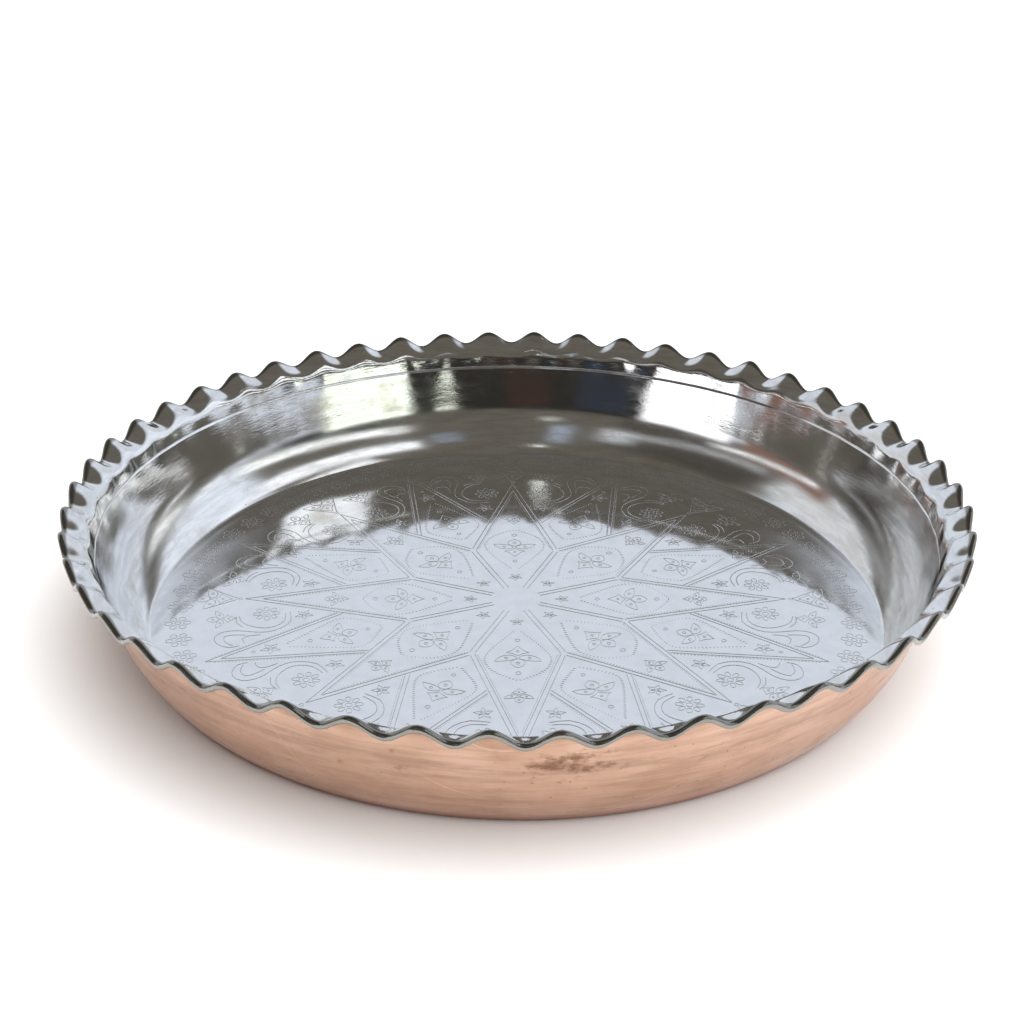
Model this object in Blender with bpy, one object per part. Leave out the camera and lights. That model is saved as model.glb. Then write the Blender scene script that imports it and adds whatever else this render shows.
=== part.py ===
"""Tinned copper serving tray with a fluted, wired rim.

Metres, +Z up. The origin is the centre of the underside, so the tray stands on Z = 0.
The tray is one raised copper sheet. Its inner face carries a tin lining, and its rim is
flared, fluted and curled outward round a wire, so the lining shows on the outside of the bead.

Every surface is an offset of one profile line, the copper sheet's lined face, which runs from the
middle of the floor up the wall and round the curl. Each profile point becomes one ring.
"""

import math
from collections import namedtuple

import bmesh
import bpy

MM = 0.001

# Sheet, lining and wire
SHEET_THICKNESS = 0.8 * MM
LIP_SHEET_THICKNESS = 0.7 * MM
CURL_SHEET_THICKNESS = 0.45 * MM
LINING_THICKNESS = 0.1 * MM
LINING_GAP = 0.1 * MM
WIRE_RADIUS = 0.45 * MM
WIRE_SIDES = 5
WIRE_JOINT_GAP = 1.0 * MM
WIRE_JOINT_FLUTE = 42

# Profile, as radius and height of the sheet's lined face above its underside
FLOOR_RADIUS = 147.5 * MM
CORNER_RADIUS = 150.4 * MM
CORNER_HEIGHT = 2.4 * MM
WALL_FOOT_RADIUS = 162.0 * MM
WALL_FOOT_HEIGHT = 22.2 * MM
LIP_FOOT_RADIUS = 168.9 * MM
LIP_FOOT_HEIGHT = 45.4 * MM
COVE_BULGE = 1.6 * MM
COVE_STEPS = 3

# Rolled bead, centred on the wire
BEAD_CENTRE_RADIUS = 177.5 * MM
BEAD_CENTRE_HEIGHT = 50.2 * MM
CURL_RADIUS = 1.15 * MM
CURL_START = math.radians(124.0)
CURL_SWEEP = math.radians(270.0)
CURL_STEPS = 4
LINED_CURL_STEPS = 3

# Flutes of the rim: each one is four facets long, with a flat crest and a flat trough
FLUTES = 50
FLUTE_RISE = 2.6 * MM
FLUTE_REACH = 0.5 * MM
FLUTE_WAVE = (1.0, 1.0, -1.0, -1.0)

RIM_SEGMENTS = FLUTES * len(FLUTE_WAVE)
WALL_SEGMENTS = RIM_SEGMENTS // 2

# Linear colour, roughness and metallic value of each material
COPPER = ((0.64, 0.32, 0.21), 0.36, 1.0)
TIN = ((0.62, 0.63, 0.66), 0.16, 1.0)
STEEL = ((0.42, 0.43, 0.45), 0.40, 1.0)

Point = namedtuple("Point", "radius height wave thickness segments")


def clear_scene():
    for obj in list(bpy.data.objects):
        bpy.data.objects.remove(obj, do_unlink=True)


def make_material(name, look):
    colour, roughness, metallic = look
    material = bpy.data.materials.new(name)
    material.use_nodes = True
    shader = material.node_tree.nodes["Principled BSDF"]
    shader.inputs["Base Color"].default_value = (*colour, 1.0)
    shader.inputs["Roughness"].default_value = roughness
    shader.inputs["Metallic"].default_value = metallic
    material.diffuse_color = (*colour, 1.0)
    return material


def cove_points():
    """From the corner of the floor up to the foot of the wall, bowed outward and down like a shallow arc."""
    run = WALL_FOOT_RADIUS - CORNER_RADIUS
    rise = WALL_FOOT_HEIGHT - CORNER_HEIGHT
    length = math.hypot(run, rise)
    points = []
    for step in range(COVE_STEPS + 1):
        along = step / COVE_STEPS
        bow = COVE_BULGE * 4.0 * along * (1.0 - along)
        radius = CORNER_RADIUS + run * along + bow * rise / length
        height = CORNER_HEIGHT + rise * along - bow * run / length
        points.append(Point(radius, height, 0.0, SHEET_THICKNESS, WALL_SEGMENTS))
    return points


def curl_points(steps):
    """The lined face round the bead: over the top, outward and under."""
    points = []
    for step in range(steps + 1):
        angle = CURL_START - CURL_SWEEP * step / CURL_STEPS
        radius = BEAD_CENTRE_RADIUS + CURL_RADIUS * math.cos(angle)
        height = BEAD_CENTRE_HEIGHT + CURL_RADIUS * math.sin(angle)
        points.append(Point(radius, height, 1.0, CURL_SHEET_THICKNESS, RIM_SEGMENTS))
    return points


def profile(curl_steps):
    floor_edge = Point(FLOOR_RADIUS, SHEET_THICKNESS, 0.0, SHEET_THICKNESS, WALL_SEGMENTS)
    lip_foot = Point(LIP_FOOT_RADIUS, LIP_FOOT_HEIGHT, 0.0, LIP_SHEET_THICKNESS, RIM_SEGMENTS)
    return [floor_edge, *cove_points(), lip_foot, *curl_points(curl_steps)]


def mitre(points, index):
    """Unit offset at a profile point, towards the lining, lengthened so that faces stay parallel."""
    if index == 0:
        # The floor is level, so the direction before the first point is straight outward.
        before = (1.0, 0.0)
    else:
        before = direction(points[index - 1], points[index])
    if index == len(points) - 1:
        after = before
    else:
        after = direction(points[index], points[index + 1])
    first = (-before[1], before[0])
    second = (-after[1], after[0])
    total = (first[0] + second[0], first[1] + second[1])
    size = math.hypot(*total)
    unit = (total[0] / size, total[1] / size)
    stretch = 1.0 / (unit[0] * first[0] + unit[1] * first[1])
    return (unit[0] * stretch, unit[1] * stretch)


def direction(start, end):
    run = end.radius - start.radius
    rise = end.height - start.height
    length = math.hypot(run, rise)
    return (run / length, rise / length)


def offset_profile(points, distance_at):
    """The profile moved by distance_at(point), positive towards the lining."""
    moved = []
    for index, point in enumerate(points):
        towards = mitre(points, index)
        distance = distance_at(point)
        radius = point.radius + towards[0] * distance
        height = point.height + towards[1] * distance
        moved.append(point._replace(radius=radius, height=height))
    return moved


def rim_angle(index):
    """Angle of a rim segment. A crest is centred on +X."""
    return 2.0 * math.pi * (index - 0.5) / RIM_SEGMENTS


def add_ring(mesh, point):
    stride = RIM_SEGMENTS // point.segments
    ring = []
    for index in range(0, RIM_SEGMENTS, stride):
        wave = point.wave * FLUTE_WAVE[index % len(FLUTE_WAVE)]
        radius = point.radius + FLUTE_REACH * wave
        height = point.height + FLUTE_RISE * wave
        angle = rim_angle(index)
        ring.append(mesh.verts.new((radius * math.cos(angle), radius * math.sin(angle), height)))
    return ring


def join_rings(mesh, lower, upper):
    """Faces between two rings. The upper ring may have twice the segments of the lower one."""
    count = len(lower)
    if len(upper) == count:
        for index in range(count):
            after = (index + 1) % count
            mesh.faces.new((lower[index], lower[after], upper[after], upper[index]))
        return
    for index in range(count):
        after = (index + 1) % count
        middle = upper[2 * index + 1]
        mesh.faces.new((lower[index], middle, upper[2 * index]))
        mesh.faces.new((lower[index], lower[after], middle))
        mesh.faces.new((lower[after], upper[2 * after], middle))


def skin(name, lower_line, upper_line, material):
    """A closed sheet between two profile lines, each starting with the edge of a flat floor."""
    mesh = bmesh.new()
    sheets = []
    for line in (lower_line, upper_line):
        rings = [add_ring(mesh, point) for point in line]
        mesh.faces.new(rings[0])
        for below, above in zip(rings, rings[1:]):
            join_rings(mesh, below, above)
        sheets.append(rings)
    join_rings(mesh, sheets[0][-1], sheets[1][-1])
    return finish_mesh(name, mesh, material)


def make_wire(name, material):
    """The wire inside the curl: a ring that follows the flutes, its ends butted on a flat crest."""
    mesh = bmesh.new()
    first = WIRE_JOINT_FLUTE * len(FLUTE_WAVE) + 1
    last = first + RIM_SEGMENTS
    rings = []
    for index in range(first, last + 1):
        wave = FLUTE_WAVE[(index if index < last else first) % len(FLUTE_WAVE)]
        angle = rim_angle(index)
        if index == last:
            angle -= WIRE_JOINT_GAP / BEAD_CENTRE_RADIUS
        ring = []
        for side in range(WIRE_SIDES):
            turn = 2.0 * math.pi * side / WIRE_SIDES
            radius = BEAD_CENTRE_RADIUS + FLUTE_REACH * wave + WIRE_RADIUS * math.cos(turn)
            height = BEAD_CENTRE_HEIGHT + FLUTE_RISE * wave + WIRE_RADIUS * math.sin(turn)
            ring.append(mesh.verts.new((radius * math.cos(angle), radius * math.sin(angle), height)))
        rings.append(ring)
    for start, end in zip(rings, rings[1:]):
        join_rings(mesh, start, end)
    mesh.faces.new(rings[0])
    mesh.faces.new(rings[-1])
    return finish_mesh(name, mesh, material)


def finish_mesh(name, mesh, material):
    bmesh.ops.recalc_face_normals(mesh, faces=mesh.faces)
    data = bpy.data.meshes.new(name)
    mesh.to_mesh(data)
    mesh.free()
    data.materials.append(material)
    data.shade_smooth()
    data.set_sharp_from_angle(angle=math.radians(35.0))
    obj = bpy.data.objects.new(name, data)
    bpy.context.collection.objects.link(obj)
    return obj


def make_copper_body():
    lined_face = profile(CURL_STEPS)
    outer_face = offset_profile(lined_face, lambda point: -point.thickness)
    return skin("copper_body", outer_face, lined_face, make_material("bare_copper", COPPER))


def make_tin_lining():
    lined_face = profile(LINED_CURL_STEPS)
    bonded_face = offset_profile(lined_face, lambda point: LINING_GAP)
    open_face = offset_profile(lined_face, lambda point: LINING_GAP + LINING_THICKNESS)
    return skin("tin_lining", bonded_face, open_face, make_material("bright_tin", TIN))


def main():
    clear_scene()
    make_copper_body()
    make_tin_lining()
    make_wire("rim_wire", make_material("wire_steel", STEEL))


main()
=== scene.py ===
"""Looks of the fluted copper tray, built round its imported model.

The tray is one copper sheet with a tin lining, its fluted rim curled over a wire. Every turned
surface is a profile line carried round +Z. The floor is a flat disk with the ornament cut into it
as real V-shaped grooves: one half of a star sector is drawn below, and the other fifteen halves
are its mirror images.
"""

import math

import bpy
import numpy as np
from mathutils import Matrix, Vector
from mathutils.geometry import delaunay_2d_cdt


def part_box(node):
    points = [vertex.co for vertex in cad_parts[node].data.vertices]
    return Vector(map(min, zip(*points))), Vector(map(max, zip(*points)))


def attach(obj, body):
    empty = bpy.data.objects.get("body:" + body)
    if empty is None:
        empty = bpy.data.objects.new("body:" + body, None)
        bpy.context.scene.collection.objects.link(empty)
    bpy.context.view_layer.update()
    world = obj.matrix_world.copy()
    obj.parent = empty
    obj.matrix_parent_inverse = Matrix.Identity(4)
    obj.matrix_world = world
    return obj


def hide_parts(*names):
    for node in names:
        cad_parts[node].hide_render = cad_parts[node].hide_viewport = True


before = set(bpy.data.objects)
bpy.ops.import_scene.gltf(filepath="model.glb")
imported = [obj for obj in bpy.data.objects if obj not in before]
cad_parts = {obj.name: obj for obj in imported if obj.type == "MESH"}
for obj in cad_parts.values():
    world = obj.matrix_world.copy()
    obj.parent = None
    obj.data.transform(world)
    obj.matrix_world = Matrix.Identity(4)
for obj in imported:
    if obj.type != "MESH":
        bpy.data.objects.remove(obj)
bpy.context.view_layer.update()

MM = 0.001
TAU = 2.0 * math.pi
QUARTER = math.pi / 2.0

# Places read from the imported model
LINING_LOW, LINING_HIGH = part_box("tin_lining")
WIRE_LOW, WIRE_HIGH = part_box("rim_wire")

# Sheet, lining and wire. The copper's underside stands on Z = 0.
FLOOR_TOP = LINING_LOW.z + 0.10 * MM
TIN_THICKNESS = 0.12 * MM
TIN_GAP = 0.03 * MM
SHEET_THICKNESS = FLOOR_TOP - TIN_THICKNESS - TIN_GAP
CURL_SHEET_THICKNESS = 0.45 * MM
WIRE_RADIUS = 0.55 * MM
WIRE_SIDES = 12

# Rolled bead and the flutes of the rim
FLUTES = 50
FLUTE_RISE = 2.6 * MM
FLUTE_REACH = 0.5 * MM
SEGMENTS_PER_FLUTE = 16
SEGMENTS = FLUTES * SEGMENTS_PER_FLUTE
BEAD_RADIUS = 1.32 * MM
BEAD_CENTRE_RADIUS = LINING_HIGH.x - FLUTE_REACH - BEAD_RADIUS
BEAD_CENTRE_HEIGHT = (WIRE_LOW.z + WIRE_HIGH.z) / 2.0
CURL_SWEEP = math.radians(270.0)
LINED_SWEEP = math.radians(205.0)
CURL_STEP = math.radians(15.0)

# How the flutes differ from one another, as bent by hand: size as a share, lean as a phase
FLUTE_SEED = 7
FLUTE_SIZE_SPREAD = 0.07
FLUTE_SIZE_RANGE = (0.85, 1.15)
FLUTE_LEAN_SPREAD = 0.10
FLUTE_LEAN_RANGE = (-0.25, 0.25)

# Profile of the open face of the lining
FLOOR_RADIUS = 148.8 * MM
CORNER_FILLET = 2.0 * MM
CORNER_STEPS = 5
COVE_FOOT_SLOPE = math.radians(47.0)
COVE_RADIUS = 50.0 * MM
COVE_STEPS = 11
WALL_SLOPE = math.radians(74.0)
TURNED_LINE_HEIGHT = 39.6 * MM
TURNED_LINE_WIDTH = 0.9 * MM
TURNED_LINE_DEPTH = 0.28 * MM
ROWS_BELOW_LINE = 7
ROWS_ABOVE_LINE = 4
LIP_FOOT_HEIGHT = 44.6 * MM
LIP_FILLET = 3.5 * MM
LIP_SLOPE = math.radians(34.0)
LIP_STRAIGHT_SHARE = 0.45
LIP_STEPS = 14
FLUTE_GROWTH = 1.3
WALL_RIPPLE = 0.30 * MM
RIPPLE_GROWTH = 4
SHARP_EDGE = math.radians(40.0)

# Ornament, in units of the star's radius, which runs from the middle of the floor to a star tip.
# A groove deepens from nothing over END_RUN of its half widths at each end.
STAR_POINTS = 8
STAR_RADIUS = 112.5 * MM
HALF_SECTOR = math.pi / STAR_POINTS
BORDER_ROSETTES = 64
CUT_HALF_WIDTH = 0.0026
FINE_HALF_WIDTH = 0.0020
CUT_SLOPE = 0.21
END_RUN = 3.0
SHORTEST_LEVEL_CUT = 2.5
FLOOR_PIECE_THICKNESS = 0.12 * MM
BEAD_PITCH = 0.0118
BEAD_LENGTH = 0.0072
ROPE_PITCH = 0.0135
ROPE_LENGTH = 0.0144
ROPE_SLANT = 0.55


# ---------------------------------------------------------------- profile

def arc(centre, radius, start, end, steps):
    """Points along an arc, as radius and height."""
    angles = np.linspace(start, end, steps + 1)
    return [(centre[0] + radius * math.cos(a), centre[1] + radius * math.sin(a)) for a in angles]


def corner_and_cove():
    """From the crisp edge of the floor, round a small fillet and up the hollow cove."""
    centre = (FLOOR_RADIUS, FLOOR_TOP + CORNER_FILLET)
    points = arc(centre, CORNER_FILLET, -QUARTER, COVE_FOOT_SLOPE - QUARTER, CORNER_STEPS)
    foot = points[-1]
    centre = (
        foot[0] - COVE_RADIUS * math.sin(COVE_FOOT_SLOPE),
        foot[1] + COVE_RADIUS * math.cos(COVE_FOOT_SLOPE),
    )
    cove = arc(centre, COVE_RADIUS, COVE_FOOT_SLOPE - QUARTER, WALL_SLOPE - QUARTER, COVE_STEPS)
    return points + cove[1:]


def wall(crease, line_depth):
    """The straight wall above the cove, with one turned line pressed into it."""
    half = TURNED_LINE_WIDTH / 2.0
    line = TURNED_LINE_HEIGHT
    clear = 1.5 * half
    heights = list(np.linspace(crease[1], line - clear, ROWS_BELOW_LINE)[1:])
    heights += [line - half, line, line + half]
    heights += list(np.linspace(line + clear, LIP_FOOT_HEIGHT, ROWS_ABOVE_LINE))
    points = []
    for height in heights:
        depth = line_depth * max(0.0, 1.0 - abs(height - line) / half)
        radius = crease[0] + (height - crease[1]) / math.tan(WALL_SLOPE) + depth
        share = (height - crease[1]) / (LIP_FOOT_HEIGHT - crease[1])
        points.append((radius, height, 0.0, share**RIPPLE_GROWTH))
    return points


def lip(wall_top, curl_start):
    """The flared lip, as one easy curve. The flutes grow along it from nothing to full size."""
    rise = np.array([math.cos(WALL_SLOPE), math.sin(WALL_SLOPE)])
    flare = np.array([math.cos(LIP_SLOPE), math.sin(LIP_SLOPE)])
    start, end = np.array(wall_top), np.array(curl_start)
    first = start + rise * LIP_FILLET
    second = end - flare * np.linalg.norm(end - start) * LIP_STRAIGHT_SHARE
    points = []
    for step in range(1, LIP_STEPS + 1):
        t = step / LIP_STEPS
        s = 1.0 - t
        place = s**3 * start + 3 * s * s * t * first + 3 * s * t * t * second + t**3 * end
        points.append((*place, t**FLUTE_GROWTH, s**2))
    return points


def lined_profile(sweep, line_depth=TURNED_LINE_DEPTH):
    """Rows (radius, height, flute share, ripple share), from the floor's edge to the curl's end."""
    cove = corner_and_cove()
    rows = [(radius, height, 0.0, 0.0) for radius, height in cove]
    rows += wall(cove[-1], line_depth)
    centre = (BEAD_CENTRE_RADIUS, BEAD_CENTRE_HEIGHT)
    start = QUARTER + LIP_SLOPE
    curl = arc(centre, BEAD_RADIUS, start, start - sweep, round(sweep / CURL_STEP))
    rows += lip(rows[-1][:2], curl[0])
    rows += [(radius, height, 1.0, 0.0) for radius, height in curl[1:]]
    return np.array(rows)


def moved_line(line, distance):
    """The profile moved sideways, positive towards the open side of the tray."""
    step = np.gradient(line[:, :2], axis=0)
    step[0] = (1.0, 0.0)
    step /= np.linalg.norm(step, axis=1)[:, None]
    moved = line.copy()
    moved[:, 0] -= step[:, 1] * distance
    moved[:, 1] += step[:, 0] * distance
    return moved


# ---------------------------------------------------------------- turned surfaces

ANGLES = TAU * np.arange(SEGMENTS) / SEGMENTS


def hand_made_wave():
    """Height share of the rim at each angle: even flutes, each a little different."""
    random = np.random.default_rng(FLUTE_SEED)
    size = 1.0 + FLUTE_SIZE_SPREAD * random.standard_normal(FLUTES)
    lean = FLUTE_LEAN_SPREAD * random.standard_normal(FLUTES)
    flute = ANGLES / TAU * FLUTES
    knots = np.arange(FLUTES + 1)
    size = np.interp(flute, knots, np.append(size, size[0]))
    lean = np.interp(flute, knots, np.append(lean, lean[0]))
    phase = FLUTES * ANGLES + np.clip(lean, *FLUTE_LEAN_RANGE)
    return np.clip(size, *FLUTE_SIZE_RANGE) * np.cos(phase)


WAVE = hand_made_wave()


def rings_of(line):
    """(rings, SEGMENTS, 3) points of a profile line turned round +Z, with the flutes in it."""
    wave = WAVE[None, :] * line[:, 2:3]
    radius = line[:, 0:1] + FLUTE_REACH * wave + WALL_RIPPLE * WAVE[None, :] * line[:, 3:4]
    height = line[:, 1:2] + FLUTE_RISE * wave
    return np.stack([radius * np.cos(ANGLES), radius * np.sin(ANGLES), height], axis=-1)


def band_faces(rings, closed):
    """Quads between neighbouring rings, and between the last and the first if closed."""
    bands = rings if closed else rings - 1
    below = np.arange(bands)[:, None] * SEGMENTS
    above = (np.arange(bands)[:, None] + 1) % rings * SEGMENTS
    here = np.arange(SEGMENTS)[None, :]
    after = (here + 1) % SEGMENTS
    quads = np.stack([below + here, below + after, above + after, above + here], axis=-1)
    return quads.reshape(-1, 4).tolist()


def new_piece(name, points, faces, material, smooth=True):
    """A mesh object with its material, on the tray's one body."""
    mesh = bpy.data.meshes.new(name)
    mesh.from_pydata(points.reshape(-1, 3).tolist(), [], faces)
    if smooth:
        mesh.shade_smooth()
        mesh.set_sharp_from_angle(angle=SHARP_EDGE)
    mesh.materials.append(material)
    piece = bpy.data.objects.new(name, mesh)
    bpy.context.scene.collection.objects.link(piece)
    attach(piece, "root")
    return piece


def make_tin_wall(material):
    """The lining outside the floor, one closed sheet up the wall and round the bead."""
    face = lined_profile(LINED_SWEEP)
    points = np.concatenate([rings_of(face), rings_of(moved_line(face, -TIN_THICKNESS)[::-1])])
    return new_piece("tin_wall", points, band_faces(len(points), True), material)


def make_copper_shell(material):
    """The copper sheet: its lined side, then its bare side, each with a flat floor."""
    inner = moved_line(lined_profile(CURL_SWEEP), -TIN_THICKNESS - TIN_GAP)
    thickness = SHEET_THICKNESS + (CURL_SHEET_THICKNESS - SHEET_THICKNESS) * inner[:, 2]
    outer = moved_line(lined_profile(CURL_SWEEP, 0.0), -TIN_THICKNESS - TIN_GAP - thickness)
    points = np.concatenate([rings_of(inner), rings_of(outer[::-1])])
    faces = band_faces(len(points), False)
    last = (len(points) - 1) * SEGMENTS
    faces.append(list(range(SEGMENTS))[::-1])
    faces.append(list(range(last, last + SEGMENTS)))
    return new_piece("copper_shell", points, faces, material)


def make_wire_core(material):
    """The wire inside the bead, following the flutes."""
    centre = (BEAD_CENTRE_RADIUS, BEAD_CENTRE_HEIGHT)
    section = arc(centre, WIRE_RADIUS, 0.0, TAU, WIRE_SIDES)[:-1]
    rows = [(radius, height, 1.0, 0.0) for radius, height in section]
    points = rings_of(np.array(rows))
    return new_piece("wire_core", points, band_faces(len(points), True), material)


# ---------------------------------------------------------------- ornament: cuts

# A cut is (rows, closed). Each row is x, y and the half width of the groove there, and the
# groove's depth follows its width. x runs across the sector and y outward, both in star radii.

def polar(radius, angle):
    """The point at this distance and angle from y."""
    return np.array([radius * math.sin(angle), radius * math.cos(angle)])


def smooth(points, steps, closed=False):
    """Catmull-Rom curve through the points, with this many steps between neighbours."""
    knots = [np.array(point, float) for point in points]
    count = len(knots)
    if closed:
        knots = [knots[-1], *knots, knots[0], knots[1]]
    else:
        knots = [2 * knots[0] - knots[1], *knots, 2 * knots[-1] - knots[-2]]
    curve = []
    for index in range(count if closed else count - 1):
        a, b, c, d = knots[index:index + 4]
        for step in range(steps):
            t = step / steps
            bend = (c - a) * t + (2 * a - 5 * b + 4 * c - d) * t**2 + (3 * b - a - 3 * c + d) * t**3
            curve.append(b + bend / 2)
    if not closed:
        curve.append(knots[-2])
    return curve


def cut(points, half=CUT_HALF_WIDTH):
    """An open groove that runs out to nothing at both ends."""
    start, end = np.array(points[0]), np.array(points[-1])
    first, last = points[1] - start, points[-2] - end
    run = END_RUN * half
    rows = [(*start, 0.0)]
    if len(points) == 2 and np.linalg.norm(first) < SHORTEST_LEVEL_CUT * run:
        rows.append((*(start + end) / 2, half))
    else:
        rows.append((*(start + first * min(0.5, run / np.linalg.norm(first))), half))
        rows += [(*point, half) for point in points[1:-1]]
        rows.append((*(end + last * min(0.5, run / np.linalg.norm(last))), half))
    rows.append((*end, 0.0))
    return rows, False


def loop(points, half=FINE_HALF_WIDTH):
    """A closed groove of even width."""
    return [(*point, half) for point in points], True


def spaced(points, pitch):
    """Places and headings at an even pitch along a line."""
    knots = np.array(points, float)
    lengths = np.linalg.norm(np.diff(knots, axis=0), axis=1)
    along = np.concatenate([[0.0], np.cumsum(lengths)])
    count = max(1, round(along[-1] / pitch))
    at = (np.arange(count) + 0.5) * along[-1] / count
    places = np.stack([np.interp(at, along, knots[:, axis]) for axis in (0, 1)], axis=1)
    index = np.clip(np.searchsorted(along, at) - 1, 0, len(lengths) - 1)
    return places, (knots[index + 1] - knots[index]) / lengths[index][:, None]


def beads(points):
    """A row of short punched dots along a line."""
    places, headings = spaced(points, BEAD_PITCH)
    reach = headings * BEAD_LENGTH / 2
    return [cut([a, b]) for a, b in zip(places - reach, places + reach)]


def rope(points):
    """A twisted border: short slanting cuts side by side."""
    places, headings = spaced(points, ROPE_PITCH)
    slant = ROPE_SLANT * headings + np.stack([-headings[:, 1], headings[:, 0]], axis=1)
    slant *= ROPE_LENGTH / 2 / np.linalg.norm(slant, axis=1)[:, None]
    return [cut([a, b]) for a, b in zip(places - slant, places + slant)]


def placed(shape, centre, size, turn=0.0):
    """The shape's cuts scaled, turned clockwise from straight outward, and moved to centre."""
    c = size * math.cos(turn)
    s = size * math.sin(turn)
    across, outward = centre
    cuts = []
    for rows, closed in shape:
        moved = [(across + x * c + y * s, outward + y * c - x * s, half) for x, y, half in rows]
        cuts.append((moved, closed))
    return cuts


def mirrored(shape, angle):
    """The cuts mirrored in the ray at this angle from y."""
    c = math.cos(2 * angle)
    s = math.sin(2 * angle)
    cuts = []
    for rows, closed in shape:
        cuts.append(([(y * s - x * c, x * s + y * c, half) for x, y, half in rows], closed))
    return cuts


def oval(centre, across, along, turn, steps=8):
    """Points round an oval whose long axis is turned from y."""
    points = []
    outward = polar(1.0, turn)
    sideways = polar(1.0, turn + QUARTER)
    for step in range(steps):
        angle = TAU * step / steps
        reach = outward * along * math.cos(angle) + sideways * across * math.sin(angle)
        points.append(centre + reach)
    return points


def dot(radius, height):
    """A small ring on the axis of a motif."""
    return loop(oval(polar(height, 0.0), radius, radius, 0.0, 6))


# ---------------------------------------------------------------- ornament: motifs

def rosette(petals):
    """One unit in radius: a round eye and separate oval petals."""
    eye, petal_middle, petal_reach = 0.24, 0.70, 0.29
    petal_width = 0.92 * petal_middle * math.sin(math.pi / petals) * 0.80
    cuts = [loop(oval(polar(0.0, 0.0), eye, eye, 0.0, 7))]
    for index in range(petals):
        turn = TAU * index / petals
        cuts.append(loop(oval(polar(petal_middle, turn), petal_width, petal_reach, turn)))
    return cuts


def star_flower():
    """One unit in radius: five pointed petals."""
    petals = 5
    foot, waist, spread = 0.14, 0.52, 0.50
    cuts = []
    for index in range(petals):
        turn = TAU * index / petals
        outline = [polar(foot, turn), polar(waist, turn - spread)]
        outline += [polar(1.0, turn), polar(waist, turn + spread)]
        cuts.append(loop(outline))
    return cuts


def lotus():
    """About one unit to each side: a round petal outward, two pointed leaves and a bud inward."""
    head = [(0.0, 0.12), (-0.25, 0.29), (-0.27, 0.54), (0.0, 0.79), (0.27, 0.54), (0.25, 0.29)]
    leaf = [(0.04, 0.02), (0.30, 0.24), (0.92, 0.30), (0.68, -0.04), (0.34, -0.16)]
    bud = [(0.0, -0.12), (0.20, -0.28), (0.44, -0.36), (0.24, -0.50), (0.0, -0.86)]
    cuts = [loop(smooth(head, 2, True)), dot(0.08, 0.45), dot(0.06, -0.44)]
    for side in (-1.0, 1.0):
        cuts.append(loop([(side * x, y) for x, y in smooth(leaf, 2, True)]))
        cuts.append(loop(oval(np.array([side * 0.46, 0.07]), 0.07, 0.07, 0.0, 6)))
    cuts.append(loop(bud + [(-x, y) for x, y in bud[-2:0:-1]]))
    return cuts


def heart():
    """The lotus with two straight cuts that close it to a point below."""
    cuts = lotus()
    for side in (-1.0, 1.0):
        cuts.append(cut([np.array([side * 0.86, 0.16]), np.array([side * 0.09, -1.02])]))
    return cuts


# ---------------------------------------------------------------- ornament: the half sector

def crossing(start, heading, other, other_heading):
    """Where two straight lines meet."""
    share = np.linalg.solve(np.array([heading, -other_heading]).T, other - start)
    return start + heading * share[0]


# A star tip, the inner corner between two tips, and the ray through that corner
TIP = polar(1.0, 0.0)
ELBOW = polar(0.4334, HALF_SECTOR)
RAY = polar(1.0, HALF_SECTOR)
RAY_SIDE = np.array([-RAY[1], RAY[0]])
KITE_EDGE = (ELBOW - TIP) / np.linalg.norm(ELBOW - TIP)
KITE_SIDE = np.array([KITE_EDGE[1], -KITE_EDGE[0]])
KITE_BAND = 0.0175
SPIKE_BAND = 0.0150
RAY_GAP = 0.0095


def on_ray(across, along):
    """A point beside the ray between two star tips."""
    return RAY * along + RAY_SIDE * across


def kite_cuts():
    """The star's kite: a double line with beads inside, a roped drop and flowers on its axis."""
    half_apex = math.atan2(ELBOW[0], 1.0 - ELBOW[1])
    inner_tip = TIP - polar(KITE_BAND / math.sin(half_apex), 0.0)
    inner_elbow = crossing(inner_tip, KITE_EDGE, on_ray(RAY_GAP, 0.0), RAY)
    inward = KITE_SIDE * math.copysign(0.0080, -KITE_SIDE[0])
    drop = [(0.0, 0.567), (0.035, 0.548), (0.084, 0.510), (0.113, 0.455)]
    drop += [(0.112, 0.405), (0.084, 0.347), (0.045, 0.285), (0.010, 0.235)]
    side = [cut([TIP, ELBOW]), cut([inner_tip, inner_elbow])]
    side.append(cut([inner_elbow, on_ray(RAY_GAP, 0.088)]))
    side += beads([inner_tip + KITE_EDGE * 0.05 + inward, inner_elbow - KITE_EDGE * 0.01 + inward])
    side += rope(smooth(drop, 3))
    on_axis = placed(lotus(), (0.0, 0.415), 0.088)
    on_axis += placed(lotus(), (0.0, 0.664), 0.054)
    on_axis += placed(heart(), (0.0, 1.117), 0.084)
    on_axis += placed(star_flower(), (0.0, 0.170), 0.026, math.pi)
    on_axis += [dot(0.010, 0.520), dot(0.009, 0.300), dot(0.008, 1.016)]
    return on_axis, side


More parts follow.
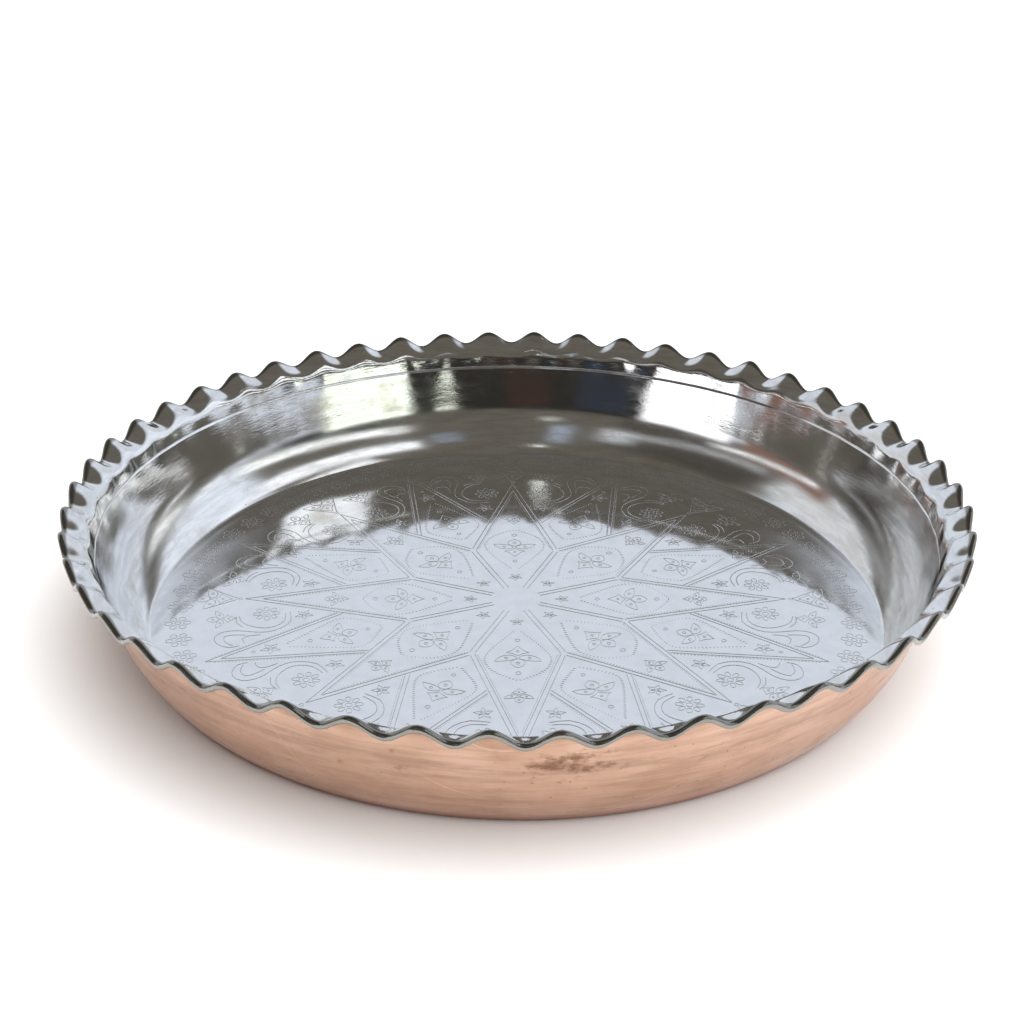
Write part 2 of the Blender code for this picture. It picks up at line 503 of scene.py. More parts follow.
def spike_cuts():
    """The spike behind the kites: a double line with beads outside, a roped kite and a lotus."""
    tip = on_ray(0.0, 1.168)
    edge = on_ray(0.1505, 0.6440) - tip
    edge /= np.linalg.norm(edge)
    outward = np.array([-edge[1], edge[0]])
    outward *= math.copysign(1.0, np.dot(outward, RAY_SIDE))
    half_apex = math.acos(np.dot(-edge, RAY))
    inner_tip = tip - RAY * SPIKE_BAND / math.sin(half_apex)
    short = edge * 0.004
    foot = crossing(tip, edge, TIP, KITE_EDGE) - short
    inner_foot = crossing(inner_tip, edge, TIP, KITE_EDGE) - short
    beside = outward * 0.0072
    kite = [(0.010, 0.874), (0.045, 0.800), (0.082, 0.722), (0.107, 0.655)]
    kite += [(0.098, 0.610), (0.052, 0.562), (0.004, 0.522)]
    side = [cut([tip, foot]), cut([inner_tip, inner_foot])]
    side += beads([tip + edge * 0.03 + beside, foot - edge * 0.012 + beside])
    side += rope(smooth([on_ray(*point) for point in kite], 2))
    centred = placed(lotus(), on_ray(0.0, 0.682), 0.084, HALF_SECTOR + math.pi)
    centred += placed(star_flower(), on_ray(0.0, 0.934), 0.036, HALF_SECTOR)
    for radius, along in ((0.009, 0.790), (0.008, 0.575), (0.007, 0.995)):
        centred += placed([dot(1.0, 0.0)], on_ray(0.0, along), radius)
    return centred, side


def scroll_cuts():
    """Between tip and spike: a C scroll round a rosette, a comma leaf, a lotus and a star flower."""
    scroll = [(0.124, 1.004), (0.166, 0.990), (0.198, 0.958), (0.214, 0.905)]
    scroll += [(0.200, 0.862), (0.160, 0.836), (0.100, 0.838)]
    back = [(0.126, 1.012), (0.172, 1.008), (0.212, 0.976)]
    comma = [(0.336, 0.972), (0.351, 1.010), (0.326, 1.054), (0.283, 1.070)]
    comma += [(0.246, 1.048), (0.233, 0.998), (0.242, 0.940), (0.241, 0.885)]
    comma += [(0.214, 0.842), (0.162, 0.813), (0.092, 0.824)]
    fold = [(0.341, 0.992), (0.316, 1.026), (0.278, 1.036), (0.264, 1.008), (0.264, 0.958)]
    leaf = [(0.326, 0.956), (0.292, 0.970), (0.270, 0.950), (0.262, 0.905)]
    cuts = [cut(smooth(line, 2)) for line in (scroll, back, comma, fold, leaf)]
    cuts += placed(rosette(8), (0.110, 0.906), 0.050, 0.12)
    cuts += placed(lotus(), (0.151, 1.066), 0.064, 0.15)
    cuts += placed(star_flower(), (0.118, 0.770), 0.034, 0.5)
    return cuts


def border_cuts():
    """The half sector's share of the rosettes round the star."""
    pitch = TAU / BORDER_ROSETTES
    cuts = []
    for index in range(BORDER_ROSETTES // (2 * STAR_POINTS)):
        angle = (index + 0.5) * pitch
        cuts += placed(rosette(6), polar(1.229, angle), 0.047, angle)
    return cuts


def inside_ray(x, y):
    """How far a point is on the near side of the ray at the end of the half sector."""
    return y * math.sin(HALF_SECTOR) - x * math.cos(HALF_SECTOR)


def half_sector_cuts():
    """All the cuts of the half sector, and the mirror images of those that reach over its sides."""
    on_axis, kite_side = kite_cuts()
    on_spike, spike_side = spike_cuts()
    side = kite_side + spike_side + scroll_cuts() + border_cuts()
    margin = 0.012
    over_axis = [c for c in side if min(x for x, y, half in c[0]) < margin]
    over_ray = [c for c in side if min(inside_ray(x, y) for x, y, half in c[0]) < margin]
    return on_axis + on_spike + side + mirrored(over_axis, 0.0) + mirrored(over_ray, HALF_SECTOR)


# ---------------------------------------------------------------- ornament: mesh

def groove_lines(rows, closed):
    """The middle of a groove, and its two edges as offsets of it, with blunted sharp corners."""
    blunt_turn, blunt_corner = 0.3, 0.55
    rows = np.array(rows, float)
    middle, half = rows[:, :2], rows[:, 2:3]
    if closed:
        into, out = middle - np.roll(middle, 1, axis=0), np.roll(middle, -1, axis=0) - middle
    else:
        steps = np.diff(middle, axis=0)
        into, out = np.concatenate([steps[:1], steps]), np.concatenate([steps, steps[-1:]])
    into /= np.linalg.norm(into, axis=1)[:, None]
    out /= np.linalg.norm(out, axis=1)[:, None]
    heading = into + out
    size = np.linalg.norm(heading, axis=1)[:, None]
    heading = np.where(size > blunt_turn, heading / np.maximum(size, blunt_turn), into)
    stretch = 1.0 / np.maximum(blunt_corner, np.abs((heading * into).sum(axis=1)))[:, None]
    offset = np.stack([-heading[:, 1], heading[:, 0]], axis=1) * half * stretch
    return middle, middle + offset, middle - offset


def outline_graph(cuts):
    """Points and edges of every groove's middle and sides, and the middles as straight stretches."""
    points, edges, stretches = [], [], []
    for rows, closed in cuts:
        count = len(rows)
        last = count if closed else count - 1
        lines = groove_lines(rows, closed)
        numbers = []
        for line in lines:
            numbers.append([])
            for index in range(count):
                pointed = line is not lines[0] and rows[index][2] == 0.0
                numbers[-1].append(numbers[0][index] if pointed else len(points))
                if not pointed:
                    points.append(tuple(line[index]))
        for index in range(last):
            after = (index + 1) % count
            edges += [(row[index], row[after]) for row in numbers]
            stretches.append((*rows[index], *rows[after]))
    return points, edges, np.array(stretches)


def depth_at(points, stretches):
    """Depth of the ornament at each point. Where grooves cross, the deeper one counts."""
    start, end = stretches[:, 0:2], stretches[:, 3:5]
    run = end - start
    never_zero = 1e-18
    length_squared = np.maximum((run**2).sum(axis=1), never_zero)
    depth = np.zeros(len(points))
    block = 500
    for first in range(0, len(points), block):
        here = points[first:first + block, None, :]
        along = np.clip(((here - start) * run).sum(axis=2) / length_squared, 0.0, 1.0)
        away = np.linalg.norm(here - (start + run * along[..., None]), axis=2)
        half = stretches[:, 2] + (stretches[:, 5] - stretches[:, 2]) * along
        depth[first:first + block] = np.maximum(0.0, half - away).max(axis=1)
    return depth * CUT_SLOPE


def half_sector_mesh():
    """Points, triangles and depth of one half sector of the floor, in star radii."""
    points, edges, stretches = outline_graph(half_sector_cuts())
    rim = FLOOR_RADIUS / STAR_RADIUS
    steps = SEGMENTS // (2 * STAR_POINTS)
    first = len(points)
    points.append((0.0, 0.0))
    points += [tuple(polar(rim, HALF_SECTOR * step / steps)) for step in range(steps + 1)]
    border = list(range(first, len(points)))
    edges += list(zip(border, border[1:] + border[:1]))
    millimetres = STAR_RADIUS / MM
    flat = [Vector((x * millimetres, y * millimetres)) for x, y in points]
    every_triangle, nearest = 0, 0.001
    made = delaunay_2d_cdt(flat, edges, [], every_triangle, nearest)
    corners = np.array([tuple(point) for point in made[0]]) / millimetres
    triangles = np.array(made[2])
    centres = corners[triangles].mean(axis=1)
    slice_angle = HALF_SECTOR / steps
    slices = np.floor(np.arctan2(centres[:, 0], centres[:, 1]) / slice_angle)
    middle = (slices + 0.5) * slice_angle
    reach = centres[:, 0] * np.sin(middle) + centres[:, 1] * np.cos(middle)
    inside = (centres[:, 0] > 0.0) & (inside_ray(centres[:, 0], centres[:, 1]) > 0.0)
    inside &= reach < rim * math.cos(slice_angle / 2.0)
    used, triangles = np.unique(triangles[inside], return_inverse=True)
    corners, triangles = corners[used], triangles.reshape(-1, 3)
    return straightened(corners), triangles, depth_at(corners, stretches)


def straightened(corners):
    """Puts points that are a hair off the half sector's two straight sides exactly on them."""
    hair = 1e-5
    corners[np.abs(corners[:, 0]) < hair, 0] = 0.0
    off = inside_ray(corners[:, 0], corners[:, 1])
    off[np.abs(off) >= hair] = 0.0
    corners[:, 0] += off * math.cos(HALF_SECTOR)
    corners[:, 1] -= off * math.sin(HALF_SECTOR)
    return corners


def whole_floor():
    """The half sector mirrored and turned to a full disk, with a star tip on +X, then welded."""
    weld_distance = 2e-6
    corners, triangles, depth = half_sector_mesh()
    across, outward = corners.T * STAR_RADIUS
    height = FLOOR_TOP - depth * STAR_RADIUS
    points, faces = [], []
    for index in range(STAR_POINTS):
        c = math.cos(TAU * index / STAR_POINTS)
        s = math.sin(TAU * index / STAR_POINTS)
        for side in (1.0, -1.0):
            x = outward * c - side * across * s
            y = outward * s + side * across * c
            faces.append(triangles + len(points) * len(corners))
            points.append(np.stack([x, y, height], axis=1))
    points, faces = np.concatenate(points), np.concatenate(faces)
    key = np.round(points / weld_distance).astype(np.int64)
    _, first, number = np.unique(key, axis=0, return_index=True, return_inverse=True)
    points, faces = points[first], number.reshape(-1)[faces]
    one, two, three = (points[faces[:, corner], :2] for corner in range(3))
    # Mirrored triangles run clockwise, so they are turned round to face up.
    area = np.cross(two - one, three - one)
    faces = np.where(area[:, None] < 0.0, faces[:, ::-1], faces)
    return points, faces[area != 0.0]


def make_tin_floor(material):
    """The engraved disk, closed by a flat back."""
    points, faces = whole_floor()
    radius = np.hypot(points[:, 0], points[:, 1])
    rim = np.flatnonzero(radius > FLOOR_RADIUS - 0.01 * MM)
    rim = rim[np.argsort(np.arctan2(points[rim, 1], points[rim, 0]))].tolist()
    back = points[rim]
    back[:, 2] = FLOOR_TOP - FLOOR_PIECE_THICKNESS
    first = len(points)
    count = len(rim)
    faces = faces.tolist()
    for index in range(count):
        after = (index + 1) % count
        faces.append([first + index, first + after, rim[after], rim[index]])
    faces.append(list(range(first + count - 1, first - 1, -1)))
    points = np.concatenate([points, back])
    return new_piece("tin_floor", points, faces, material, smooth=False)


# ---------------------------------------------------------------- materials

def add_node(tree, kind, inputs=None, **settings):
    """A new node with its settings, and with a value or a link for each named input."""
    made = tree.nodes.new(kind)
    for name, value in settings.items():
        setattr(made, name, value)
    for name, value in (inputs or {}).items():
        if isinstance(value, bpy.types.NodeSocket):
            tree.links.new(value, made.inputs[name])
        else:
            made.inputs[name].default_value = value
    return made


def calculate(tree, operation, first, second=0.0):
    """The result of one sum on values or links."""
    return add_node(tree, "ShaderNodeMath", {0: first, 1: second}, operation=operation).outputs[0]


def ranged(tree, value, low, high, to_low=0.0, to_high=1.0):
    """An eased ramp over value, from to_low at low to to_high at high."""
    inputs = {"Value": value, "From Min": low, "From Max": high, "To Min": to_low, "To Max": to_high}
    return add_node(tree, "ShaderNodeMapRange", inputs, interpolation_type="SMOOTHSTEP").outputs[0]


def blended(tree, factor, first, second):
    """Colour mix. Either colour is a linear RGB triple or another node's output."""
    # Sockets 6 and 7, and output 2, are the colour ones of a Mix node.
    mix = add_node(tree, "ShaderNodeMix", {"Factor": factor}, data_type="RGBA")
    for socket, colour in ((mix.inputs[6], first), (mix.inputs[7], second)):
        if isinstance(colour, tuple):
            socket.default_value = (*colour, 1.0)
        else:
            tree.links.new(colour, socket)
    return mix.outputs[2]


def noise(tree, vector, scale, detail=3.0, roughness=0.5):
    """Fractal noise from 0 to 1."""
    inputs = {"Vector": vector, "Scale": scale, "Detail": detail, "Roughness": roughness}
    return add_node(tree, "ShaderNodeTexNoise", inputs).outputs["Fac"]


class Surface:
    """A metal surface being built: its node tree, shader and the coordinates its patterns use.

    flat is the plain position in metres. heading is the unit direction out from the tray's axis,
    so a pattern laid on heading and height has no seam and can be drawn out round the tray.
    """

    def __init__(self, name):
        self.material = bpy.data.materials.new(name)
        self.material.use_nodes = True
        self.tree = self.material.node_tree
        self.shader = self.tree.nodes["Principled BSDF"]
        self.shader.inputs["Metallic"].default_value = 1.0
        self.flat = add_node(self.tree, "ShaderNodeTexCoord").outputs["Object"]
        parts = add_node(self.tree, "ShaderNodeSeparateXYZ", {0: self.flat})
        self.height = parts.outputs[2]
        out_from_axis = {0: parts.outputs[0], 1: parts.outputs[1]}
        level = {0: add_node(self.tree, "ShaderNodeCombineXYZ", out_from_axis).outputs[0]}
        length = add_node(self.tree, "ShaderNodeVectorMath", level, operation="LENGTH")
        self.radius = length.outputs["Value"]
        heading = add_node(self.tree, "ShaderNodeVectorMath", level, operation="NORMALIZE")
        self.heading = heading.outputs[0]

    def turned(self, around, across, offset=0.0):
        """Coordinates round the tray and up the wall, in cells per radian and per metre."""
        tree = self.tree
        widened = {0: self.heading, "Scale": around}
        wide = add_node(tree, "ShaderNodeVectorMath", widened, operation="SCALE")
        parts = add_node(tree, "ShaderNodeSeparateXYZ", {0: wide.outputs[0]})
        rise = calculate(tree, "MULTIPLY_ADD", self.height, across)
        tree.nodes[-1].inputs[2].default_value = offset
        placed_at = {0: parts.outputs[0], 1: parts.outputs[1], 2: rise}
        return add_node(tree, "ShaderNodeCombineXYZ", placed_at).outputs[0]

    def stretched(self, angle, along, across):
        """Flat coordinates drawn out along one direction."""
        inputs = {"Vector": self.flat, "Rotation": (0.0, 0.0, angle), "Scale": (along, across, 1.0)}
        return add_node(self.tree, "ShaderNodeMapping", inputs, vector_type="POINT").outputs[0]

    def scratches(self, angle, along, across, share):
        """Sparse thin lines in one direction. A larger share of the noise leaves more of them."""
        edge = 0.03
        lines = noise(self.tree, self.stretched(angle, along, across), 1.0, 1.0)
        return ranged(self.tree, lines, 1.0 - share, 1.0 - share + edge)

    def specks(self, scale, size, share):
        """Small round pits, scattered unevenly."""
        inputs = {"Vector": self.flat, "Scale": scale}
        cells = add_node(self.tree, "ShaderNodeTexVoronoi", inputs)
        near = ranged(self.tree, cells.outputs["Distance"], size, size * 0.4)
        lot = add_node(self.tree, "ShaderNodeSeparateColor", {0: cells.outputs["Color"]}).outputs[0]
        picked = ranged(self.tree, lot, 1.0 - share, 1.01 - share)
        return calculate(self.tree, "MULTIPLY", near, picked)

    def bump(self, layers):
        """Adds height layers, each (value, depth in metres), into the shader's normal."""
        normal = None
        for value, depth in layers:
            inputs = {"Height": value, "Strength": 1.0, "Distance": depth}
            if normal is not None:
                inputs["Normal"] = normal
            normal = add_node(self.tree, "ShaderNodeBump", inputs).outputs["Normal"]
        self.tree.links.new(normal, self.shader.inputs["Normal"])

    def finish(self, colour, roughness):
        """Joins colour and roughness to the shader, and gives the material."""
        self.tree.links.new(colour, self.shader.inputs["Base Color"])
        self.tree.links.new(roughness, self.shader.inputs["Roughness"])
        return self.material


# Linear colours of the tin on the floor and on the wall, and of the bead, darkened partly as worn tin
# and partly as a painted dark reflection
CLEAN_TIN = (0.90, 0.91, 0.93)
CLOUDED_TIN = (0.85, 0.86, 0.88)
SCRATCHED_TIN = (0.74, 0.75, 0.76)
TARNISHED_CUT = (0.55, 0.54, 0.54)
TIN_PIT = (0.16, 0.14, 0.12)
WIPED_TIN = (0.92, 0.93, 0.94)
BRUSHED_TIN = (0.78, 0.78, 0.78)
SMEARED_TIN = (0.62, 0.58, 0.53)
WALL_PIT = (0.12, 0.10, 0.08)
BEAD_WEAR_AND_DARK_REFLECTION_LOW = (0.15, 0.14, 0.125)
BEAD_WEAR_AND_DARK_REFLECTION_HIGH = (0.33, 0.32, 0.29)


def engraved_tin():
    """Wiped and polished tin, with tarnish left in the engraved lines and fine scratches from use."""
    metal = Surface("engraved_tin")
    tree = metal.tree
    swell = noise(tree, metal.flat, 42.0, 1.0)
    cloud = noise(tree, metal.flat, 130.0, 3.0, 0.62)
    grain = noise(tree, metal.flat, 1500.0, 1.0, 0.6)
    scratched = metal.scratches(0.5, 22.0, 2600.0, 0.30)
    scratched = calculate(tree, "MAXIMUM", scratched, metal.scratches(1.9, 30.0, 2900.0, 0.29))
    pits = metal.specks(260.0, 0.07, 0.10)
    cut_in = ranged(tree, metal.height, FLOOR_TOP - 0.004 * MM, FLOOR_TOP - 0.035 * MM)
    colour = blended(tree, ranged(tree, cloud, 0.35, 0.68), CLEAN_TIN, CLOUDED_TIN)
    colour = blended(tree, calculate(tree, "MULTIPLY", scratched, 0.25), colour, SCRATCHED_TIN)
    colour = blended(tree, calculate(tree, "MULTIPLY", pits, 0.60), colour, TIN_PIT)
    colour = blended(tree, calculate(tree, "MULTIPLY", cut_in, 0.20), colour, TARNISHED_CUT)
    roughness = ranged(tree, cloud, 0.30, 0.70, 0.045, 0.085)
    roughness = calculate(tree, "ADD", roughness, ranged(tree, grain, 0.4, 0.8, 0.0, 0.03))
    roughness = calculate(tree, "ADD", roughness, calculate(tree, "MULTIPLY", cut_in, 0.38))
    metal.bump([(swell, 0.07 * MM), (grain, 0.0008 * MM)])
    return metal.finish(colour, roughness)


def turned_tin():
    """Tin wiped round the wall: hazy in the cove, brushed above it, and dark on the bead, partly worn
    tin and partly a painted dark reflection.
    """
    metal = Surface("turned_tin")
    tree = metal.tree
    streaks = noise(tree, metal.turned(60.0, 1500.0), 1.0, 2.0, 0.6)
    brush = noise(tree, metal.turned(9.0, 420.0, 7.0), 1.0, 3.0, 0.6)
    smear = noise(tree, metal.turned(7.0, 55.0, 3.0), 1.0, 3.0, 0.6)
    dents = noise(tree, metal.flat, 60.0, 1.0)
    pits = metal.specks(300.0, 0.11, 0.16)
    haze = ranged(tree, metal.height, 24.0 * MM, 17.0 * MM)
    bead = BEAD_CENTRE_RADIUS
    # Painted dark reflection: the bead's tin is darkened all round, partly for wear and partly to
    # stand for the dark room it mirrors.
    bead_wear_and_dark_reflection = ranged(tree, metal.radius, bead - 1.9 * MM, bead - 0.7 * MM)
    upper = ranged(tree, metal.height, 19.0 * MM, 27.0 * MM)
    colour = blended(tree, ranged(tree, brush, 0.32, 0.68), WIPED_TIN, BRUSHED_TIN)
    colour = blended(tree, ranged(tree, smear, 0.55, 0.80), colour, SMEARED_TIN)
    colour = blended(tree, calculate(tree, "MULTIPLY", pits, 0.75), colour, WALL_PIT)
    dull = blended(tree, brush, BEAD_WEAR_AND_DARK_REFLECTION_LOW, BEAD_WEAR_AND_DARK_REFLECTION_HIGH)
    colour = blended(tree, calculate(tree, "MULTIPLY", bead_wear_and_dark_reflection, 0.92), colour, dull)
    roughness = ranged(tree, brush, 0.30, 0.70, 0.05, 0.11)
    roughness = calculate(tree, "ADD", roughness, ranged(tree, smear, 0.5, 0.8, 0.0, 0.07))
    roughness = calculate(tree, "ADD", roughness, calculate(tree, "MULTIPLY", haze, 0.05))
    roughness = calculate(tree, "ADD", roughness, calculate(tree, "MULTIPLY", bead_wear_and_dark_reflection, 0.10))
    marks = calculate(tree, "MULTIPLY", calculate(tree, "ADD", streaks, brush), upper)
    metal.bump([(dents, 0.07 * MM), (marks, 0.026 * MM)])
    return metal.finish(colour, roughness)


# Linear colours of the copper, from fresh to stained, with a painted shade under the rim
FRESH_COPPER = (0.72, 0.485, 0.37)
AGED_COPPER = (0.62, 0.395, 0.285)
STREAKED_COPPER = (0.46, 0.285, 0.20)
LINED_COPPER = (0.42, 0.25, 0.17)
CORNER_COPPER = (0.42, 0.17, 0.12)
BANDED_COPPER = (0.42, 0.26, 0.19)
SHADED_COPPER = (0.36, 0.21, 0.14)
COPPER_STAIN = (0.22, 0.11, 0.06)
COPPER_PIT = (0.14, 0.07, 0.05)
COPPER_SCRATCH = (0.92, 0.68, 0.55)

# Where the biggest stain sits on the outside: its angle from +X, and its height
STAIN_ANGLE = math.radians(-85.0)
STAIN_HEIGHT = 33.0 * MM
BAND_HEIGHT = 31.0 * MM


def spun_copper():
    """Bare satin copper with turning lines, a faint band, brown stains, pits and scratches."""
    metal = Surface("spun_copper")
    tree = metal.tree
    lines = noise(tree, metal.turned(5.0, 2200.0), 1.0, 2.0, 0.65)
    streaks = noise(tree, metal.turned(6.0, 300.0, 5.0), 1.0, 4.0, 0.62)
    patina = noise(tree, metal.flat, 38.0, 4.0, 0.6)
    stain = noise(tree, metal.turned(26.0, 260.0, 2.0), 1.0, 5.0, 0.62)
    pits = metal.specks(330.0, 0.13, 0.22)
    scratched = metal.scratches(0.8, 16.0, 1900.0, 0.29)
    # Darker and redder towards the bottom edge.
    corner = ranged(tree, metal.height, 6.5 * MM, 1.5 * MM)
    band = calculate(tree, "ABSOLUTE", calculate(tree, "SUBTRACT", metal.height, BAND_HEIGHT))
    band = ranged(tree, band, 4.5 * MM, 0.5 * MM)
    band = calculate(tree, "MULTIPLY", band, ranged(tree, streaks, 0.30, 0.62))
    # Painted shade: the copper just under the overhanging rim is darkened.
    painted_shade_under_rim = ranged(tree, metal.height, 41.5 * MM, 46.5 * MM)
    spot = (math.cos(STAIN_ANGLE), math.sin(STAIN_ANGLE), 0.0)
    both = {0: metal.heading, 1: spot}
    towards = add_node(tree, "ShaderNodeVectorMath", both, operation="DOT_PRODUCT")
    near_spot = ranged(tree, towards.outputs["Value"], math.cos(0.11), math.cos(0.01))
    off = calculate(tree, "ABSOLUTE", calculate(tree, "SUBTRACT", metal.height, STAIN_HEIGHT))
    near_spot = calculate(tree, "MULTIPLY", near_spot, ranged(tree, off, 10.0 * MM, 1.0 * MM))
    stained = calculate(tree, "ADD", stain, calculate(tree, "MULTIPLY", near_spot, 0.24))
    colour = blended(tree, ranged(tree, patina, 0.35, 0.68), FRESH_COPPER, AGED_COPPER)
    colour = blended(tree, ranged(tree, streaks, 0.40, 0.72, 0.0, 0.70), colour, STREAKED_COPPER)
    colour = blended(tree, ranged(tree, lines, 0.45, 0.75, 0.0, 0.30), colour, LINED_COPPER)
    colour = blended(tree, calculate(tree, "MULTIPLY", corner, 0.65), colour, CORNER_COPPER)
    colour = blended(tree, calculate(tree, "MULTIPLY", band, 0.50), colour, BANDED_COPPER)
    colour = blended(tree, calculate(tree, "MULTIPLY", painted_shade_under_rim, 0.60), colour, SHADED_COPPER)
    colour = blended(tree, ranged(tree, stained, 0.60, 0.84, 0.0, 0.85), colour, COPPER_STAIN)
    colour = blended(tree, calculate(tree, "MULTIPLY", pits, 0.75), colour, COPPER_PIT)
    colour = blended(tree, calculate(tree, "MULTIPLY", scratched, 0.30), colour, COPPER_SCRATCH)
    roughness = ranged(tree, patina, 0.30, 0.70, 0.27, 0.38)
    roughness = calculate(tree, "ADD", roughness, ranged(tree, stained, 0.5, 0.8, 0.0, 0.15))
    metal.bump([(lines, 0.008 * MM), (streaks, 0.020 * MM), (pits, -0.02 * MM)])
    return metal.finish(colour, roughness)


# Linear colours of the wire
WIRE_GREY = (0.42, 0.43, 0.45)
WIRE_BROWN = (0.26, 0.18, 0.13)
DIE_LINE_GREY = (0.30, 0.30, 0.31)


def drawn_steel():
    """Dull iron wire with die lines along it and some brown bloom."""
    metal = Surface("drawn_steel")
    tree = metal.tree
    lines = noise(tree, metal.turned(2.0, 9000.0), 1.0, 3.0)
    bloom = noise(tree, metal.flat, 160.0, 4.0, 0.6)
    colour = blended(tree, ranged(tree, bloom, 0.45, 0.70), WIRE_GREY, WIRE_BROWN)
    colour = blended(tree, ranged(tree, lines, 0.4, 0.7, 0.0, 0.4), colour, DIE_LINE_GREY)
    metal.bump([(lines, 0.004 * MM)])
    return metal.finish(colour, ranged(tree, bloom, 0.3, 0.7, 0.34, 0.60))


# ---------------------------------------------------------------- camera

# The photo's viewpoint. The lens and the sensor's width are in millimetres.
CAMERA_PLACE = Vector((-11.6, -599.4, 334.6)) * MM
CAMERA_YAW = math.radians(-0.839)
CAMERA_PITCH = math.radians(26.009)
CAMERA_ROLL = math.radians(0.424)
CAMERA_LENS = 58.2
SENSOR_WIDTH = 36.0
NEAREST_SEEN = 0.01
FARTHEST_SEEN = 50.0


def make_camera():
    """A camera at the photo's angle: pitched down, with a slight yaw and roll."""
    data = bpy.data.cameras.new("camera")
    data.lens = CAMERA_LENS
    data.sensor_width = SENSOR_WIDTH
    data.clip_start = NEAREST_SEEN
    data.clip_end = FARTHEST_SEEN
    camera = bpy.data.objects.new("camera", data)
    turn = Matrix.Rotation(CAMERA_YAW, 4, "Z") @ Matrix.Rotation(QUARTER - CAMERA_PITCH, 4, "X")
    turn = turn @ Matrix.Rotation(CAMERA_ROLL, 4, "Z")
    camera.matrix_world = Matrix.Translation(CAMERA_PLACE) @ turn
    bpy.context.scene.collection.objects.link(camera)
    bpy.context.scene.camera = camera


# ---------------------------------------------------------------- studio

# The room that the metal mirrors, as soft-edged patches: dark ceiling and walls,
# bright windows and tubes, and coloured things on the camera's side. Each patch is the azimuth and
# elevation of its middle, half width, half height, tilt and edge softness, all in degrees, and its
# linear colour. Azimuth 0 is the camera's side and grows towards +X. A later patch lies over an
# earlier one.
ROOM = (
    (0.0, 92.0, 200.0, 48.0, 0.0, 12.0, (0.135, 0.123, 0.105)),
    (0.0, 56.0, 100.0, 46.0, 0.0, 12.0, (0.13, 0.117, 0.096)),
    (-62.0, 30.0, 28.0, 19.0, 0.0, 8.0, (0.075, 0.065, 0.055)),
    (-62.0, 28.0, 26.0, 3.0, 12.0, 5.0, (0.36, 0.36, 0.36)),
    (-36.0, 36.0, 6.0, 7.0, 0.0, 6.0, (0.55, 0.57, 0.58)),
    (-120.0, 22.0, 26.0, 13.0, 0.0, 9.0, (0.68, 0.69, 0.70)),
    (60.0, 17.0, 17.0, 8.0, 0.0, 5.0, (0.05, 0.05, 0.05)),
    (74.0, 19.0, 40.0, 3.2, -14.0, 3.0, (1.25, 1.27, 1.25)),
    (80.0, 38.0, 44.0, 4.5, -11.0, 3.0, (1.20, 1.22, 1.25)),
    (78.0, 52.0, 18.0, 4.0, 0.0, 3.0, (1.15, 1.18, 1.20)),
    (118.0, 22.0, 26.0, 13.0, 0.0, 8.0, (0.84, 0.89, 0.98)),
    (-10.0, 9.5, 55.0, 5.5, 0.0, 3.0, (0.028, 0.026, 0.022)),
    (46.0, 9.0, 14.0, 4.2, 0.0, 3.0, (1.35, 1.45, 1.25)),
    (21.0, 11.5, 3.0, 1.8, 0.0, 2.0, (0.95, 1.0, 0.85)),
    (-4.5, 8.5, 6.0, 2.5, 0.0, 4.0, (0.055, 0.030, 0.024)),
    (-27.0, 7.5, 8.0, 3.5, 0.0, 4.0, (0.034, 0.040, 0.056)),
    (-54.0, 9.0, 14.0, 5.0, 0.0, 4.0, (1.75, 1.75, 1.78)),
    (-92.0, 11.0, 18.0, 8.0, 0.0, 7.0, (0.22, 0.13, 0.10)),
    (-84.0, 15.0, 20.0, 1.6, 14.0, 2.5, (1.0, 1.0, 1.0)),
    (-16.5, 41.0, 3.8, 10.0, 0.0, 2.0, (0.32, 0.36, 0.42)),
    (25.0, 43.0, 5.0, 5.0, 0.0, 2.5, (0.26, 0.29, 0.34)),
    (-10.0, 56.0, 3.0, 0.9, 0.0, 1.0, (1.5, 1.5, 1.4)),
    (-12.0, 25.0, 2.5, 1.0, 0.0, 1.0, (1.5, 1.5, 1.4)),
)
ROOM_COLOUR = (0.70, 0.74, 0.81)
BACKDROP_COLOUR = (1.0, 1.0, 1.0)
PAPER_COLOUR = (0.90, 0.90, 0.90)
PAPER_FIBRE_COLOUR = (0.91, 0.91, 0.91)
PAPER_HALF_SIZE = 15.0
SKYLIGHT_STRENGTH = 4.0
SKYLIGHT_WIDTH = math.radians(75.0)
SKYLIGHT_TILT = (math.radians(12.0), math.radians(14.0), 0.0)


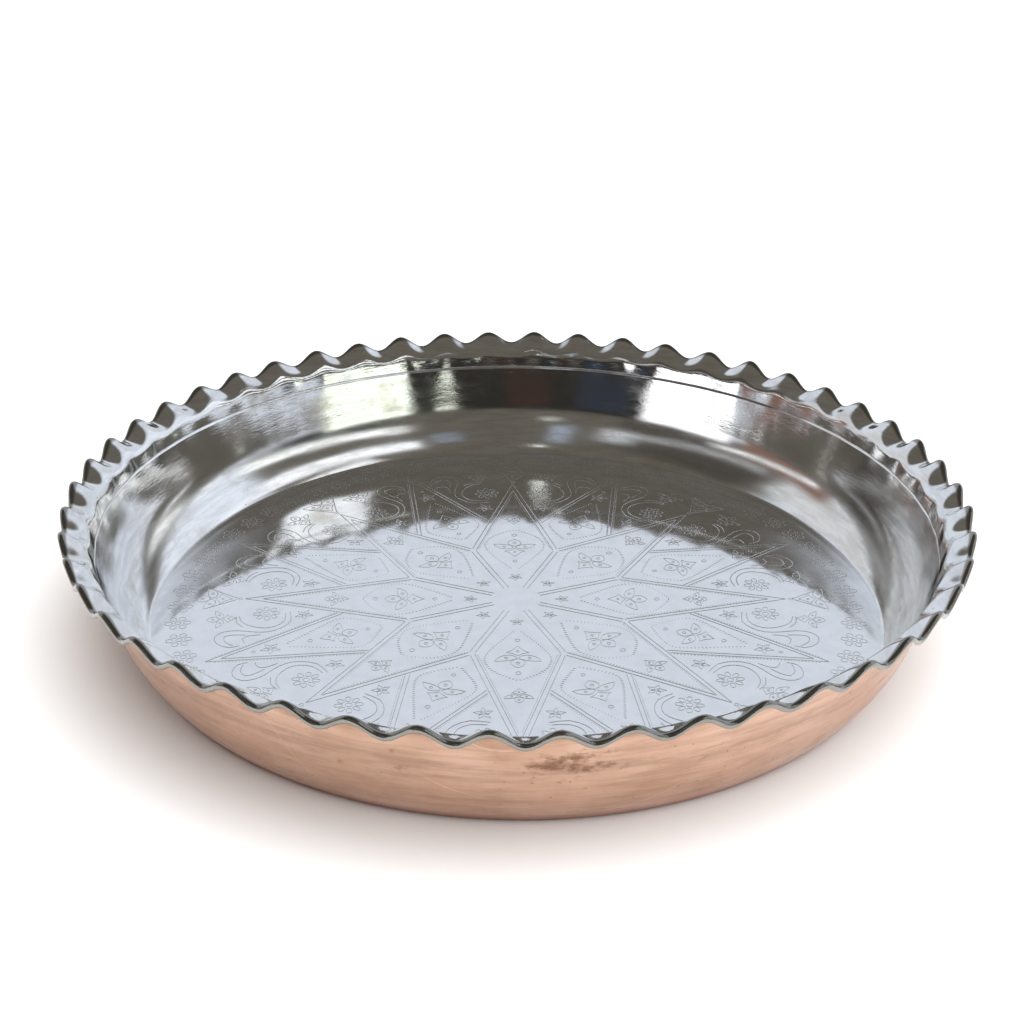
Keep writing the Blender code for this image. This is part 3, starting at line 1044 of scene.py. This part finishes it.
def room_colour(tree):
    """Lays the patches over one another on a chart of azimuth and elevation."""
    direction = add_node(tree, "ShaderNodeTexCoord").outputs["Generated"]
    parts = add_node(tree, "ShaderNodeSeparateXYZ", {0: direction})
    away = calculate(tree, "MULTIPLY", parts.outputs[1], -1.0)
    azimuth = calculate(tree, "ARCTAN2", parts.outputs[0], away)
    elevation = calculate(tree, "ARCSINE", parts.outputs[2])
    chart = add_node(tree, "ShaderNodeCombineXYZ", {0: azimuth, 1: elevation}).outputs[0]
    colour = ROOM_COLOUR
    for middle, height, half_width, half_height, tilt, softness, patch in ROOM:
        place = {
            "Vector": chart,
            "Location": (math.radians(middle), math.radians(height), 0.0),
            "Rotation": (0.0, 0.0, math.radians(tilt)),
        }
        local = add_node(tree, "ShaderNodeMapping", place, vector_type="TEXTURE").outputs[0]
        size = add_node(tree, "ShaderNodeVectorMath", {0: local}, operation="ABSOLUTE").outputs[0]
        edges = add_node(tree, "ShaderNodeMapRange", data_type="FLOAT_VECTOR")
        edges.interpolation_type = "SMOOTHSTEP"
        # Sockets 6, 7 and 8 are the vector and the two ends of its range.
        tree.links.new(size, edges.inputs[6])
        half = (math.radians(half_width), math.radians(half_height))
        blur = math.radians(softness) / 2.0
        edges.inputs[7].default_value = (half[0] + blur, half[1] + blur, 1.0)
        edges.inputs[8].default_value = (half[0] - blur, half[1] - blur, 0.0)
        shares = add_node(tree, "ShaderNodeSeparateXYZ", {0: edges.outputs[1]})
        share = calculate(tree, "MULTIPLY", shares.outputs[0], shares.outputs[1])
        colour = blended(tree, share, colour, patch)
    return colour


def make_room():
    """A plain backdrop to the camera, and the room's patches to everything else."""
    world = bpy.data.worlds.new("studio")
    world.use_nodes = True
    tree = world.node_tree
    seen = add_node(tree, "ShaderNodeLightPath").outputs["Is Camera Ray"]
    colour = blended(tree, seen, room_colour(tree), BACKDROP_COLOUR)
    tree.links.new(colour, tree.nodes["Background"].inputs["Color"])
    bpy.context.scene.world = world
    bpy.context.scene.view_settings.view_transform = "Standard"


def make_paper_floor():
    """A wide sheet of pale matt paper at Z = 0."""
    half = PAPER_HALF_SIZE
    corners = [(-half, -half, 0.0), (half, -half, 0.0), (half, half, 0.0), (-half, half, 0.0)]
    mesh = bpy.data.meshes.new("studio_floor")
    mesh.from_pydata(corners, [], [(0, 1, 2, 3)])
    paper = bpy.data.materials.new("floor_paper")
    paper.use_nodes = True
    tree = paper.node_tree
    shader = tree.nodes["Principled BSDF"]
    fibres = noise(tree, add_node(tree, "ShaderNodeTexCoord").outputs["Object"], 3.0)
    tone = blended(tree, fibres, PAPER_COLOUR, PAPER_FIBRE_COLOUR)
    tree.links.new(tone, shader.inputs["Base Color"])
    shader.inputs["Roughness"].default_value = 1.0
    shader.inputs["Specular IOR Level"].default_value = 0.0
    mesh.materials.append(paper)
    floor = bpy.data.objects.new("studio_floor", mesh)
    bpy.context.scene.collection.objects.link(floor)


def make_skylight():
    """Wide soft light from above, which lights the paper and isn't mirrored by the metal."""
    data = bpy.data.lights.new("skylight", "SUN")
    data.energy = SKYLIGHT_STRENGTH
    data.angle = SKYLIGHT_WIDTH
    skylight = bpy.data.objects.new("skylight", data)
    skylight.rotation_euler = SKYLIGHT_TILT
    skylight.visible_glossy = False
    bpy.context.scene.collection.objects.link(skylight)


# ---------------------------------------------------------------- the tray

tin_floor = make_tin_floor(engraved_tin())
tin_wall = make_tin_wall(turned_tin())
copper_shell = make_copper_shell(spun_copper())
wire_core = make_wire_core(drawn_steel())
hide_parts("tin_lining")
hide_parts("copper_body")
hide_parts("rim_wire")

make_camera()
make_room()
make_paper_floor()
make_skylight()
